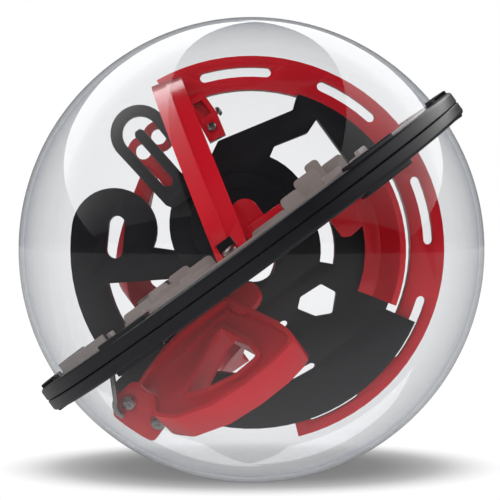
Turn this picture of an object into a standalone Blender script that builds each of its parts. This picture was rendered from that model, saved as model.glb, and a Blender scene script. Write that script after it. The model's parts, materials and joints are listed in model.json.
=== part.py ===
"""A clear globe maze puzzle: a steel marble, tracks and gates on a disc inside two clear domes.

The two domes and the disc are clamped between the halves of a black ring.  The maze is drawn in
its own frame (disc in XY, ring axis along Z), which leans as the ball lies on a table, so that
the world has +Z up and its origin where the lower dome touches the table.
"""
import math

import bmesh
import bpy
from mathutils import Matrix, Vector
from mathutils.geometry import delaunay_2d_cdt

MM = 0.001

# Driving dimensions -------------------------------------------------------------------------
LEAN = math.radians(36.2)        # tilt of the ring plane as the ball lies
FIT = 0.3 * MM                   # gap between pieces that touch

MARBLE_D = 6.5 * MM
LANE_R = 81.6 * MM               # path of the marble round the rim of the disc
LANE_PLAY = 0.65 * MM            # marble to fence
FENCE_T = 1.2 * MM
FENCE_H = 4.2 * MM
GUARD_H = 7.4 * MM               # outer fence where the marble lies
GUARD_T = 0.7 * MM
DOME_GAP = 0.8 * MM              # outer fence to dome
DOME_WALL = 2.0 * MM
FLANGE_W = 1.6 * MM              # how far the dome's foot reaches outwards
FLANGE_T = 1.6 * MM
DISC_T = 2.0 * MM

RING_W = 7.5 * MM               # how far the ring stands out from the dome
RING_T = 9.4 * MM                # both halves together
RING_EDGE = 1.3 * MM             # rounding of the ring's outer corners
CLIP_PROUD = 1.35 * MM
CLIP_IN = 1.6 * MM               # dome to clip block
CLIP_W = 5.1 * MM
CLIP_HALF = math.radians(6.8)
CLIP_ANGLES = [math.radians(a) for a in (31.5, 90.0, 148.5)]

SCREW_R = 1.2 * MM
SCREW_HEAD_R = 1.9 * MM
SCREW_HEAD_T = 1.6 * MM
PAN_HEAD_R = 2.9 * MM
PAN_HEAD_T = 2.0 * MM

PLATE_T = 7.0 * MM               # upright black plates
PLATE_IN = 6.1 * MM              # inner fence to the plates' outer edge
LOWER_IN = 0.6 * MM              # lower plate inside the upper one
LEG_W = 13.0 * MM
HUB_X = 3.0 * MM
HUB_Z = 10.5 * MM
HUB_R = 28.2 * MM
HEAD_R = 16.5 * MM
HEAD_ANGLE = math.radians(135.6)
RIGHT_LEG_IN = 13.3 * MM         # inner fence to the right leg
RIGHT_LEG_W = 12.5 * MM
FORK_T = 4.0 * MM

TRACK_W = 13.3 * MM              # red slotted ring
TRACK_T = 3.5 * MM
SLOT_W = 3.8 * MM
CHANNEL_W = 11.6 * MM            # arch and chutes
CHANNEL_H = 5.0 * MM
CHANNEL_T = 1.6 * MM

TRAY_TILT = math.radians(45.0)   # how far the tray's deck looks up
TRAY_DEPTH = 14.5 * MM
TRAY_WALL = 1.8 * MM
TRAY_POCKET = 3.2 * MM

ARC_SAG = 0.06 * MM              # how far a chord may cut inside its arc
TURN_STEPS = 60

# Worked out ---------------------------------------------------------------------------------
MARBLE_R = MARBLE_D / 2
FENCE_IN_R = LANE_R - MARBLE_R - LANE_PLAY - FENCE_T
FENCE_OUT_R = LANE_R + MARBLE_R + LANE_PLAY
DOME_IN_R = FENCE_OUT_R + FENCE_T + DOME_GAP
DOME_R = DOME_IN_R + DOME_WALL
FLANGE_R = DOME_R + FLANGE_W
RING_R = DOME_R + RING_W
DISC_TOP = DISC_T / 2
SEAT = DISC_TOP + FIT            # where pieces stand on the disc
PLATE_R = FENCE_IN_R - PLATE_IN
LOWER_R = PLATE_R - LOWER_IN
RIGHT_LEG_R = FENCE_IN_R - RIGHT_LEG_IN
TRACK_R = FENCE_IN_R
HEAD_DIST = PLATE_R - HEAD_R


# Small geometry helpers ---------------------------------------------------------------------
def polar(radius, angle, centre=(0.0, 0.0)):
    return (centre[0] + radius * math.cos(angle), centre[1] + radius * math.sin(angle))


def arc_steps(radius, angle):
    step = 2 * math.acos(max(0.8, 1 - ARC_SAG / radius))
    return max(2, math.ceil(abs(angle) / step))


def arc(radius, start, end, centre=(0.0, 0.0)):
    steps = arc_steps(radius, end - start)
    return [polar(radius, start + (end - start) * i / steps, centre) for i in range(steps + 1)]


def band(inner, outer, start, end):
    """Outline of a piece of a flat ring."""
    return arc(outer, start, end) + arc(inner, end, start)


def capsule(a, b, radius):
    """Outline of a round-ended slot from a to b."""
    turn = math.atan2(b[1] - a[1], b[0] - a[0])
    return arc(radius, turn - math.pi / 2, turn + math.pi / 2, b) + arc(
        radius, turn + math.pi / 2, turn + math.pi * 1.5, a)


def circle(radius, centre=(0.0, 0.0)):
    return arc(radius, 0, 2 * math.pi, centre)[:-1]


def cut_disc(radius, centre, floor):
    """Outline of a disc that stands on a level line, centre above it."""
    dip = math.asin(max(-1.0, min(1.0, (centre[1] - floor) / radius)))
    return arc(radius, -dip, math.pi + dip, centre)


def rounded(points, radius):
    """The outline with each corner turned into an arc that its edges have room for."""
    soft = []
    count = len(points)
    for i in range(count):
        before, here, after = (Vector(points[(i + k) % count]) for k in (-1, 0, 1))
        back, ahead = before - here, after - here
        half = back.angle(ahead) / 2
        if half > math.radians(80):
            soft.append(tuple(here))
            continue
        reach = min(radius / math.tan(half), back.length * 0.45, ahead.length * 0.45)
        a = here + back.normalized() * reach
        b = here + ahead.normalized() * reach
        steps = 2 if half > math.radians(60) else 3
        for k in range(steps + 1):
            t = k / steps
            soft.append(tuple(a * (1 - t) ** 2 + here * 2 * t * (1 - t) + b * t * t))
    return soft


def merged(shapes, holes=()):
    """Boundary loops of overlapping outlines taken together, less the holes."""
    spots, faces = [], []
    for loop in [*shapes, *holes]:
        area = sum(a[0] * b[1] - b[0] * a[1] for a, b in zip(loop, [*loop[1:], loop[0]]))
        faces.append(list(range(len(spots), len(spots) + len(loop))))
        spots.extend(Vector(point) for point in (loop if area > 0 else loop[::-1]))
    verts, _, tris, _, _, sources = delaunay_2d_cdt(spots, [], faces, 1, 1e-7)
    edges = set()
    for tri, source in zip(tris, sources):
        if source and max(source) < len(shapes):
            edges.update(zip(tri, [*tri[1:], tri[0]]))
    onward = {}
    for a, b in sorted(edges):
        if (b, a) not in edges:
            onward.setdefault(a, []).append(b)

    def turn(came, here, there):
        """Angle from the way back to the way on, so that loops part where they touch."""
        back = verts[came] - verts[here]
        ahead = verts[there] - verts[here]
        return (math.atan2(back.y, back.x) - math.atan2(ahead.y, ahead.x)) % (2 * math.pi)

    loops = []
    while onward:
        start = next(iter(onward))
        loop = [start]
        here = onward[start].pop()
        while here != start:
            ways = onward[here]
            there = min(ways, key=lambda way: turn(loop[-1], here, way))
            ways.remove(there)
            loop.append(here)
            here = there
        onward = {a: ways for a, ways in onward.items() if ways}
        loops.append([tuple(verts[i]) for i in loop])
    return loops


def inset(points, amount):
    """The outline moved inwards by an even amount; points run anticlockwise."""
    moved = []
    count = len(points)
    for i in range(count):
        before, here, after = (Vector(points[(i + k) % count]) for k in (-1, 0, 1))
        one = (here - before).normalized()
        two = (after - here).normalized()
        normal = Vector((-one.y - two.y, one.x + two.x)).normalized()
        stretch = max(0.5, normal.dot(Vector((-one.y, one.x))))
        moved.append(tuple(here + normal * amount / stretch))
    return moved


# Scene ----------------------------------------------------------------------------------------
for old in list(bpy.data.objects):
    bpy.data.objects.remove(old, do_unlink=True)

parts = bpy.data.collections.new("maze_ball")
cutters = bpy.data.collections.new("cutters")
bpy.context.scene.collection.children.link(parts)
bpy.context.scene.collection.children.link(cutters)

puzzle = bpy.data.objects.new("puzzle_frame", None)
puzzle.location = (0, 0, DOME_R)
puzzle.rotation_euler = (0, -LEAN, 0)
parts.objects.link(puzzle)


def finish(name, colour, roughness, metallic=0.0, alpha=1.0):
    """A material with one plain finish."""
    made = bpy.data.materials.new(name)
    made.use_nodes = True
    shader = made.node_tree.nodes["Principled BSDF"]
    shader.inputs["Base Color"].default_value = (*colour, 1)
    shader.inputs["Roughness"].default_value = roughness
    shader.inputs["Metallic"].default_value = metallic
    shader.inputs["Alpha"].default_value = alpha
    return made


CLEAR = ("clear_polystyrene", (0.9, 0.92, 0.93), 0.03, 0.0, 0.2)
BLACK = ("black_abs", (0.018, 0.018, 0.022), 0.32)
RED = ("red_abs", (0.52, 0.008, 0.014), 0.22)
GREY = ("taupe_abs", (0.29, 0.25, 0.24), 0.4)
STEEL = ("bright_steel", (0.6, 0.6, 0.6), 0.22, 1.0)


def place(name, mesh, look, parent=puzzle):
    """Make a named part in the maze's frame, or a cutter where look is None."""
    made = bpy.data.objects.new(name, mesh)
    made.parent = parent
    if look is None:
        cutters.objects.link(made)
        made.hide_render = True
        made.display_type = "WIRE"
    else:
        parts.objects.link(made)
        mesh.materials.append(finish(name + "_" + look[0], *look[1:]))
    return made


def tidy(bm, name):
    """Close a bmesh, turn its faces outwards and give it back as a mesh."""
    bmesh.ops.remove_doubles(bm, verts=bm.verts, dist=0.00001)
    bmesh.ops.recalc_face_normals(bm, faces=bm.faces)
    mesh = bpy.data.meshes.new(name)
    bm.to_mesh(mesh)
    bm.free()
    mesh.shade_smooth()
    mesh.set_sharp_from_angle(angle=math.radians(30))
    return mesh


def slab(name, loops, low, high, look=None, turn=None):
    """A flat outline with any holes, from low to high along the turned Z axis.

    The outline lies in XY.  turn is a matrix that places it; None leaves it level.
    """
    curve = bpy.data.curves.new(name + "_outline", "CURVE")
    curve.dimensions = "2D"
    curve.fill_mode = "BOTH"
    curve.extrude = (high - low) / 2
    for points in loops:
        spline = curve.splines.new("POLY")
        spline.points.add(len(points) - 1)
        for point, (x, y) in zip(spline.points, points):
            point.co = (x, y, 0, 1)
        spline.use_cyclic_u = True
    outline = bpy.data.objects.new(name + "_outline", curve)
    parts.objects.link(outline)
    bpy.context.view_layer.update()
    ready = outline.evaluated_get(bpy.context.evaluated_depsgraph_get())
    mesh = bpy.data.meshes.new_from_object(ready)
    bpy.data.objects.remove(outline, do_unlink=True)
    bm = bmesh.new()
    bm.from_mesh(mesh)
    bmesh.ops.translate(bm, verts=bm.verts, vec=(0, 0, (low + high) / 2))
    if turn is not None:
        bmesh.ops.transform(bm, verts=bm.verts, matrix=turn)
    return place(name, tidy(bm, name), look)


# An upright outline's x and y become the maze's X and Z; its depth runs towards the front.
UPRIGHT = Matrix.Rotation(math.pi / 2, 4, "X")


def upright(name, loops, front, back, look=None):
    """An outline in the XZ plane, from Y = front to Y = back, front being the smaller Y."""
    return slab(name, loops, -back, -front, look, UPRIGHT)


def join(target, *tools):
    for tool in tools:
        step = target.modifiers.new("join_" + tool.name, "BOOLEAN")
        step.operation = "UNION"
        step.solver = "EXACT"
        step.object = tool
    return target


def cut(target, *tools):
    for tool in tools:
        step = target.modifiers.new("cut_" + tool.name, "BOOLEAN")
        step.operation = "DIFFERENCE"
        step.solver = "EXACT"
        step.object = tool
    return target


def turned(name, profile, look, steps=TURN_STEPS, turn=None, parent=puzzle):
    """A profile of (radius, height) points, running down its outer side, turned about Z."""
    bm = bmesh.new()
    verts = [bm.verts.new((r, 0, z)) for r, z in profile]
    pairs = list(zip(verts, verts[1:]))
    if profile[0][0] > 0:
        pairs.append((verts[-1], verts[0]))
    for a, b in pairs:
        bm.edges.new((a, b))
    mesh = bpy.data.meshes.new(name)
    bm.to_mesh(mesh)
    bm.free()
    made = place(name, mesh, look, parent)
    screw = made.modifiers.new("turn", "SCREW")
    screw.axis = "Z"
    screw.angle = 2 * math.pi
    screw.steps = steps
    screw.render_steps = steps
    screw.use_merge_vertices = True
    screw.merge_threshold = 0.00001
    screw.use_smooth_shade = True
    if turn is not None:
        made.matrix_local = turn
    return made


def swept(name, section, look, origin, along, axis, angle, climb=(0, 0, 0)):
    """A closed section turned about an axis through origin.

    section is in (out, side) pairs: out along the vector 'along', side along the axis.
    """
    along = Vector(along).normalized()
    axis = Vector(axis).normalized()
    origin = Vector(origin)
    steps = arc_steps(max(u for u, _ in section), angle)
    bm = bmesh.new()
    face = bm.faces.new([bm.verts.new(origin + along * u + axis * v) for u, v in section])
    bmesh.ops.spin(bm, geom=[face], cent=origin, axis=axis, dvec=Vector(climb) / steps,
                   angle=angle, steps=steps, use_merge=False, use_duplicate=False)
    return place(name, tidy(bm, name), look)


def channel(radius, height):
    """Section of a trough that opens away from its centre: a floor and two walls."""
    half = CHANNEL_W / 2
    lip = half - CHANNEL_T
    up = radius + height
    return [(radius - CHANNEL_T, -half), (radius - CHANNEL_T, half), (up, half), (up, lip),
            (radius, lip), (radius, -lip), (up, -lip), (up, -half)]


def screw(name, point, direction, length, head_r=PAN_HEAD_R, head_t=PAN_HEAD_T):
    """A screw whose head's underside is at point; direction is where its shank goes."""
    dome = head_r * 0.72
    profile = [(0, head_t), (dome, head_t * 0.86), (head_r, head_t * 0.3), (head_r, 0),
               (SCREW_R, 0), (SCREW_R, -length), (0, -length)]
    aim = Vector(direction).normalized().to_track_quat("-Z", "Y").to_matrix().to_4x4()
    return turned(name, profile, STEEL, steps=12, turn=Matrix.Translation(point) @ aim)


def bore(name, point, direction, radius, start, end):
    """A round cutter along a direction, between two distances from the point."""
    aim = Vector(direction).normalized().to_track_quat("Z", "Y").to_matrix().to_4x4()
    return slab(name, [circle(radius)], start, end, None, Matrix.Translation(point) @ aim)


# Clear domes ----------------------------------------------------------------------------------
def dome(name, side):
    """Half of the globe with the foot that the ring clamps; side is +1 above, -1 below."""
    low = SEAT
    rim = low + FLANGE_T
    rise = math.asin(rim / DOME_R)
    drop = math.asin(low / DOME_IN_R)
    steps = 9
    outer = [polar(DOME_R, math.pi / 2 + (rise - math.pi / 2) * i / steps)
             for i in range(1, steps + 1)]
    inner = [polar(DOME_IN_R, drop + (math.pi / 2 - drop) * i / steps) for i in range(steps)]
    profile = [(0, DOME_R)] + outer + [(FLANGE_R, rim), (FLANGE_R, low)] + inner
    profile.append((0, DOME_IN_R))
    flip = None if side > 0 else Matrix.Rotation(math.pi, 4, "X")
    return turned(name, profile, CLEAR, steps=44, turn=flip)


dome("dome_upper", 1)
dome("dome_lower", -1)


# Black clamp ring -----------------------------------------------------------------------------
def clip_spots():
    for angle in CLIP_ANGLES:
        for side in (-1, 1):
            yield -math.pi / 2 + side * angle


SCREW_RING_R = FLANGE_R + FIT + SCREW_HEAD_R + FIT
CLIP_TOP = RING_T / 2 + CLIP_PROUD
HEAD_SEAT = CLIP_TOP - SCREW_HEAD_T - 1.0 * MM


def ring_half(name, side):
    top = RING_T / 2
    roof = SEAT + FLANGE_T + FIT
    bore_r = DOME_R + FIT + 0.1 * MM
    edge = RING_EDGE * (1 - math.sqrt(0.5))
    profile = [(bore_r, top), (RING_R - RING_EDGE, top), (RING_R - edge, top - edge),
               (RING_R, top - RING_EDGE), (RING_R, FIT / 2), (FLANGE_R + FIT, FIT / 2),
               (FLANGE_R + FIT, roof), (bore_r, roof)]
    flip = None if side > 0 else Matrix.Rotation(math.pi, 4, "X")
    ring = turned(name, profile, BLACK, turn=flip)
    for number, spot in enumerate(clip_spots(), 1):
        block = band(DOME_R + CLIP_IN, DOME_R + CLIP_IN + CLIP_W, spot - CLIP_HALF,
                     spot + CLIP_HALF)
        low, high = sorted((side * (top - 1.0 * MM), side * CLIP_TOP))
        join(ring, slab(f"{name}_clip_{number}", [block], low, high))
    for number, spot in enumerate(clip_spots(), 1):
        centre = (*polar(SCREW_RING_R, spot), 0)
        if side < 0:
            wide = SCREW_HEAD_R + FIT
            hole = [(0, MM), (SCREW_R + FIT, MM), (SCREW_R + FIT, -HEAD_SEAT),
                    (wide, -HEAD_SEAT), (wide, -CLIP_TOP - MM), (0, -CLIP_TOP - MM)]
            cut(ring, turned(f"{name}_hole_{number}", hole, None, steps=12,
                             turn=Matrix.Translation(centre)))
        else:
            cut(ring, bore(f"{name}_hole_{number}", centre, (0, 0, 1), SCREW_R + FIT,
                           -MM, top - 0.8 * MM))
    return ring


ring_half("ring_upper", 1)
ring_half("ring_lower", -1)
for number, spot in enumerate(clip_spots(), 1):
    seat = (*polar(SCREW_RING_R, spot), -HEAD_SEAT - FIT)
    screw(f"ring_screw_{number}", seat, (0, 0, 1), HEAD_SEAT + RING_T / 2 - 1.4 * MM,
          SCREW_HEAD_R, SCREW_HEAD_T)


# Maze disc ------------------------------------------------------------------------------------
disc = turned("maze_disc", [(0, DISC_TOP), (FLANGE_R, DISC_TOP), (FLANGE_R, -DISC_TOP),
                            (0, -DISC_TOP)], GREY)
SUNK = DISC_TOP - 0.5 * MM       # the fences start inside the disc
TRACK_GAP = math.asin((PLATE_T / 2 + TRACK_T + 2 * FIT) / FENCE_IN_R)

join(disc, slab("lane_fence_in", [band(FENCE_IN_R, FENCE_IN_R + FENCE_T, TRACK_GAP,
                                       2 * math.pi - TRACK_GAP)], SUNK, DISC_TOP + FENCE_H))
join(disc, slab("lane_fence_out", [circle(FENCE_OUT_R + FENCE_T), circle(FENCE_OUT_R)],
                SUNK, DISC_TOP + FENCE_H))
STOP_HALF = math.radians(3.5)
join(disc, slab("lane_guard", [band(FENCE_OUT_R - 0.1 * MM, FENCE_OUT_R + GUARD_T,
                                    math.radians(160), math.radians(228))],
                SUNK, DISC_TOP + GUARD_H))
join(disc, slab("lane_stop", [band(TRACK_R + FIT, FENCE_OUT_R + 0.6 * MM, -STOP_HALF,
                                   STOP_HALF)], SUNK, DISC_TOP + FENCE_H - 0.6 * MM))

# Round-topped baffles: (middle x, middle y, length, turn in degrees, height), in mm.
BAFFLES = [
    (21.5, -52, 8.0, 0, 8.4), (30.5, -40, 9.6, -6, 10.8), (36.5, -22, 5.6, 8, 13.2),
    (44.0, -15, 9.2, -4, 9.4), (38.0, -50, 10.0, 35, 6.0), (54.0, -26, 9.0, 60, 6.4),
    (-22.0, -60, 16.5, 0, 5.6), (-34.5, -56, 12.5, -8, 5.6), (-18.5, -38, 11.0, 6, 7.8),
    (-36.0, -34, 8.5, 0, 9.2), (-47.0, -44, 12.0, -35, 5.6), (-50.0, -18, 15.0, -80, 7.0),
    (-42.0, 18, 17.0, 0, 9.0), (-30.0, 46, 14.0, 20, 7.0), (-2.0, 56, 15.0, 0, 7.0),
    (24.0, 50, 12.0, -25, 8.0), (44.0, 32, 12.0, -50, 7.0), (26.0, 24, 11.0, 10, 9.0),
    (-60.0, 26, 10.0, 65, 6.0), (10.0, 34, 9.0, 40, 6.0), (10.5, -57, 15.0, 3, 5.2),
    (9.0, -65, 12.0, 5, 3.6), (-46.0, -30, 14.0, -20, 8.0), (-33.0, -46, 9.0, 25, 7.4),
    (-24.0, -50, 7.0, -30, 6.6), (58.0, 12, 12.0, 80, 5.0), (50.0, -40, 9.0, 35, 5.0),
    (-62.0, -14, 12.0, -75, 6.0), (-27.0, -24, 9.0, 15, 9.6),
]
BAFFLE_T = 1.8 * MM
BAFFLE_CORNER = 1.6 * MM


def baffle(number, x, y, length, turn, height):
    """An upright strip with rounded top corners, standing in the disc."""
    half = length * MM / 2
    top = DISC_TOP + height * MM
    corner = BAFFLE_CORNER
    points = [(-half, SUNK), (half, SUNK)]
    points += arc(corner, 0, math.pi / 2, (half - corner, top - corner))
    points += arc(corner, math.pi / 2, math.pi, (corner - half, top - corner))
    place_at = Matrix.Translation((x * MM, y * MM, 0)) @ Matrix.Rotation(math.radians(turn), 4, "Z")
    return slab(f"baffle_{number}", [points], -BAFFLE_T / 2, BAFFLE_T / 2, None,
                place_at @ UPRIGHT)


for number, row in enumerate(BAFFLES, 1):
    join(disc, baffle(number, *row))

MARBLE_HOLE_R = MARBLE_R + 1.2 * MM
for number, spot in enumerate([(46.0, -38.0), (-60.0, -36.0), (12.0, 66.0)], 1):
    centre = (spot[0] * MM, spot[1] * MM, 0)
    cut(disc, bore(f"marble_hole_{number}", centre, (0, 0, 1), MARBLE_HOLE_R, -2 * DISC_T,
                   2 * DISC_T))


# Upright plate above the disc -----------------------------------------------------------------
FRONT = -PLATE_T / 2
BACK = PLATE_T / 2
hub = (HUB_X, HUB_Z)
head = polar(HEAD_DIST, HEAD_ANGLE)
leg_in = PLATE_R - LEG_W

apex = math.radians(157)
left_side = (arc(PLATE_R, math.pi - math.asin(SEAT / PLATE_R), HEAD_ANGLE)
             + arc(HEAD_R, HEAD_ANGLE, math.radians(-60), head)[1:]
             + [polar(HUB_R - 0.5 * MM, math.radians(166), hub), hub,
                (hub[0] - 22 * MM, SEAT), polar(leg_in - MM, apex)]
             + arc(leg_in, apex, math.pi - math.asin(SEAT / leg_in)))
leg_top = polar(RIGHT_LEG_R, math.radians(37.5))
leg_x = RIGHT_LEG_R - RIGHT_LEG_W
right_leg = (arc(RIGHT_LEG_R, math.asin(SEAT / RIGHT_LEG_R), math.radians(37.5))
             + [(leg_x, leg_top[1] - 11 * MM), (leg_x, SEAT)])
arm = [hub, (leg_top[0] - 19 * MM, leg_top[1] - 11 * MM), (leg_top[0] - 5.5 * MM, leg_top[1] - 14.5 * MM),
       (leg_top[0] + 4 * MM, leg_top[1] - 11 * MM), leg_top,
       (leg_top[0] - 5 * MM, leg_top[1] - 4 * MM),
       (hub[0] + 11.5 * MM, hub[1] + HUB_R + 3.2 * MM), (hub[0] + 4 * MM, hub[1] + HUB_R - 0.8 * MM)]
window = capsule((head[0] - 4.6 * MM, head[1] - 6.2 * MM),
                 (head[0] + 2.2 * MM, head[1] + 1.4 * MM), 3.3 * MM)
FORK_SCREW = (-1.2 * MM, 34.2 * MM)
plate = upright("upper_plate", merged(
    [cut_disc(HUB_R, hub, SEAT), left_side, right_leg, rounded(arm, 1.2 * MM)],
    [window, circle(SCREW_R + FIT, FORK_SCREW)]), FRONT, BACK, BLACK)

boss = upright("hub_boss", [cut_disc(20 * MM, hub, SEAT)], FRONT - FIT - 3 * MM, FRONT - FIT, BLACK)
join(boss, upright("hub_step", [cut_disc(13.6 * MM, hub, SEAT)], FRONT - FIT - 6 * MM,
                   FRONT - FIT - 2 * MM))

# Fork: a hairpin loop with a middle prong, in front of the plate.
LOOP = (-8.3 * MM, 61.5 * MM)
LOOP_R = 11.3 * MM
LOOP_IN = 6.9 * MM
outside = ([(-14.6 * MM, 30.5 * MM), (-16.4 * MM, 33.5 * MM)] + arc(LOOP_R, math.pi, 0, LOOP)
           + [(4.4 * MM, 40 * MM), (3.0 * MM, 30.5 * MM)])
inside = ([(-12.6 * MM, 40 * MM)] + arc(LOOP_IN, math.pi, 0, LOOP)
          + [(-0.6 * MM, 40 * MM), (-2.2 * MM, 38.4 * MM), (-4.2 * MM, 40 * MM),
             (-6.2 * MM, 61.8 * MM), (-7.2 * MM, 63.2 * MM), (-9.4 * MM, 63.2 * MM),
             (-10.4 * MM, 61.8 * MM),
             (-8.2 * MM, 40 * MM), (-10.4 * MM, 38.4 * MM)])
FORK_BACK = FRONT - FIT
fork = upright("fork_gate", [outside, inside, circle(SCREW_R + FIT, FORK_SCREW)],
               FORK_BACK - FORK_T, FORK_BACK, BLACK)
screw("fork_screw", (FORK_SCREW[0], FORK_BACK - FORK_T - FIT, FORK_SCREW[1]), (0, 1, 0), 6 * MM)

# Figure-of-eight gate, behind the plate.
LOOP_BACK = BACK + FIT
GATE_T = 3 * MM
GATE_HOLES = [(-11.5 * MM, 56.4 * MM), (-3.2 * MM, 57.6 * MM)]
stem = capsule((-9.4 * MM, 32 * MM), (-9.4 * MM, 54 * MM), 3.6 * MM)
upright("loop_gate", merged([stem] + [circle(6.2 * MM, spot) for spot in GATE_HOLES],
                            [circle(3.1 * MM, spot) for spot in GATE_HOLES]),
        LOOP_BACK, LOOP_BACK + GATE_T, RED)

# Chute that falls from the gate round the back to the disc.
CHUTE_R = 30 * MM
CHUTE_START = math.radians(-80)
CHUTE_TURN = math.radians(-112)
CHUTE_TOP = 46.5 * MM
CHUTE_HUB = Vector((-19 * MM, LOOP_BACK + GATE_T + CHANNEL_W / 2 + CHUTE_R, 0))


def level_channel(radius, floor_z):
    """A trough's section that stands open upwards: (out, side) with side along Z."""
    half = CHANNEL_W / 2
    lip = half - CHANNEL_T
    top = floor_z + CHANNEL_H + 1.5 * MM
    return [(radius - half, floor_z - CHANNEL_T), (radius + half, floor_z - CHANNEL_T),
            (radius + half, top), (radius + lip, top), (radius + lip, floor_z),
            (radius - lip, floor_z), (radius - lip, top), (radius - half, top)]


swept("rear_chute", level_channel(CHUTE_R, CHUTE_TOP), RED, CHUTE_HUB,
      (math.cos(CHUTE_START), math.sin(CHUTE_START), 0), (0, 0, 1), CHUTE_TURN,
      (0, 0, -(CHUTE_TOP - SEAT - CHANNEL_T - 0.5 * MM)))


# Red slotted track ring, behind the plates ----------------------------------------------------
TRACK_FRONT = BACK + FIT
TRACK_BACK = TRACK_FRONT + TRACK_T
TRACK_INNER = TRACK_R - TRACK_W
SLOT_R = TRACK_R - 6.3 * MM
RIM_STEP = 0.2 * MM              # rim back from the arc's inner edge
RIM_END = math.radians(0.4)      # and short of its ends
RIM_T = 1.8 * MM
RIM_H = 4 * MM


def arc_slot(radius, width, start, end):
    """Outline of a round-ended slot along an arc."""
    half = width / 2
    return (arc(radius + half, start, end)
            + arc(half, end, end + math.pi, polar(radius, end))[1:-1]
            + arc(radius - half, end, start)
            + arc(half, start + math.pi, start + 2 * math.pi, polar(radius, start))[1:-1])


def track_arc(name, start, end, slots):
    """A flat arc with round-ended slots and a raised rim along its inner edge."""
    holes = [arc_slot(SLOT_R, SLOT_W, math.radians(a), math.radians(b)) for a, b in slots]
    made = upright(name, [band(TRACK_INNER, TRACK_R, start, end)] + holes, TRACK_FRONT,
                   TRACK_BACK, RED)
    rim = band(TRACK_INNER + RIM_STEP, TRACK_INNER + RIM_STEP + RIM_T, start + RIM_END,
               end - RIM_END)
    return join(made, upright(name + "_rim", [rim], TRACK_BACK - MM, TRACK_BACK + RIM_H))


dip = math.asin(SEAT / TRACK_INNER)
track_arc("track_ring_upper", dip, math.radians(83), [(12, 30.5), (49, 69)])
track_arc("track_ring_lower", -math.radians(112), -dip, [(-33, -13.5), (-72, -53), (-106, -91)])

# Near arch: a trough from a foot on the disc up and back over the maze.  Its back opens
# towards the maze and its smooth face, with a fine rib down the middle, looks out.
ARCH_LEAN = math.radians(14.5)
ARCH_H = 3.8 * MM
ARCH_R = FENCE_IN_R - 9.0 * MM
ARCH_X = -6.0 * MM
arch_up = Vector((math.sin(ARCH_LEAN), 0, math.cos(ARCH_LEAN)))
arch_side = Vector((math.cos(ARCH_LEAN), 0, -math.sin(ARCH_LEAN)))
arch_base = Vector((ARCH_X, 0, SEAT + 2.0 * MM))
arch_reach = math.pi / 2 + (TRACK_FRONT - FIT) / ARCH_R
RIB_HALF = 0.4 * MM
RIB_H = 0.35 * MM
arch_low, arch_out = ARCH_R - CHANNEL_T, ARCH_R + ARCH_H
arch_half = CHANNEL_W / 2
arch_lip = arch_half - CHANNEL_T
arch_section = [(arch_low, arch_lip), (arch_out - CHANNEL_T, arch_lip),
                (arch_out - CHANNEL_T, -arch_lip), (arch_low, -arch_lip), (arch_low, -arch_half),
                (arch_out, -arch_half), (arch_out, -RIB_HALF), (arch_out + RIB_H, -RIB_HALF),
                (arch_out + RIB_H, RIB_HALF), (arch_out, RIB_HALF), (arch_out, arch_half),
                (arch_low, arch_half)]
arch = swept("front_arch", arch_section, RED, arch_base, (0, -1, 0), arch_side, -arch_reach)
FOOT_T = 3.6 * MM
foot_half = CHANNEL_W / 2 + 0.6 * MM
foot_near = FENCE_IN_R - 1.4 * MM
foot_far = ARCH_R - 9 * MM
join(arch, slab("arch_foot", [[(ARCH_X - foot_half, -foot_near), (ARCH_X + foot_half, -foot_near),
                               (ARCH_X + foot_half, -foot_far), (ARCH_X - foot_half, -foot_far)]],
                SEAT, SEAT + FOOT_T))
foot_screw = Vector((ARCH_X, -ARCH_R - PAN_HEAD_R - FIT, SEAT + FOOT_T))
cut(arch, bore("foot_hole", foot_screw, (0, 0, 1), SCREW_R + FIT, -2 * FOOT_T, MM),
    bore("foot_well", foot_screw, (0, 0, 1), PAN_HEAD_R + FIT, 0, PAN_HEAD_T + 3 * MM))
cut(disc, bore("foot_disc_hole", foot_screw, (0, 0, 1), SCREW_R + FIT, -4 * FOOT_T, MM - FOOT_T))
screw("arch_screw", foot_screw + Vector((0, 0, FIT)), (0, 0, -1), FOOT_T + DISC_T + MM)

# Bracket that carries the arch's top on the arm, with two steel screws.
bracket_floor = hub[1] + HUB_R + 3.2 * MM + FIT
bracket_roof = TRACK_INNER + 1.6 * MM
bracket_outline = [(11.6 * MM, bracket_floor + MM), (18.4 * MM, bracket_floor),
                   (20.6 * MM, bracket_floor + 9 * MM), (20.8 * MM, bracket_roof - 4.5 * MM),
                   (13.0 * MM, bracket_roof - 2.0 * MM), (12.6 * MM, bracket_floor + 9 * MM)]
BRACKET_FRONT = FRONT - 1.5 * MM
bracket = upright("arch_bracket", [bracket_outline], BRACKET_FRONT, BACK - 0.5 * MM, RED)
pocket = [(15.0 * MM, bracket_floor + 10 * MM), (18.6 * MM, bracket_floor + 10 * MM),
          (18.6 * MM, bracket_roof - 6.5 * MM), (15.0 * MM, bracket_roof - 6.0 * MM)]
cut(bracket, upright("bracket_pocket", [pocket], BRACKET_FRONT - MM, BRACKET_FRONT + 4 * MM))
side_spot = (20.7 * MM, 0, bracket_floor + 9.2 * MM)
front_spot = (15.8 * MM, BRACKET_FRONT, bracket_floor + 5.4 * MM)
cut(bracket, bore("bracket_side_hole", side_spot, (-1, 0, 0), SCREW_R + FIT, -2 * MM, 5 * MM),
    bore("bracket_front_hole", front_spot, (0, 1, 0), SCREW_R + FIT, -MM, 6 * MM))
screw("bracket_screw_1", (side_spot[0] + 0.4 * MM, 0, side_spot[2]), (-1, 0, 0), 4.6 * MM,
      SCREW_HEAD_R, SCREW_HEAD_T)
screw("bracket_screw_2", (front_spot[0], front_spot[1] - FIT, front_spot[2]), (0, 1, 0), 5 * MM,
      SCREW_HEAD_R, SCREW_HEAD_T)

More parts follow.
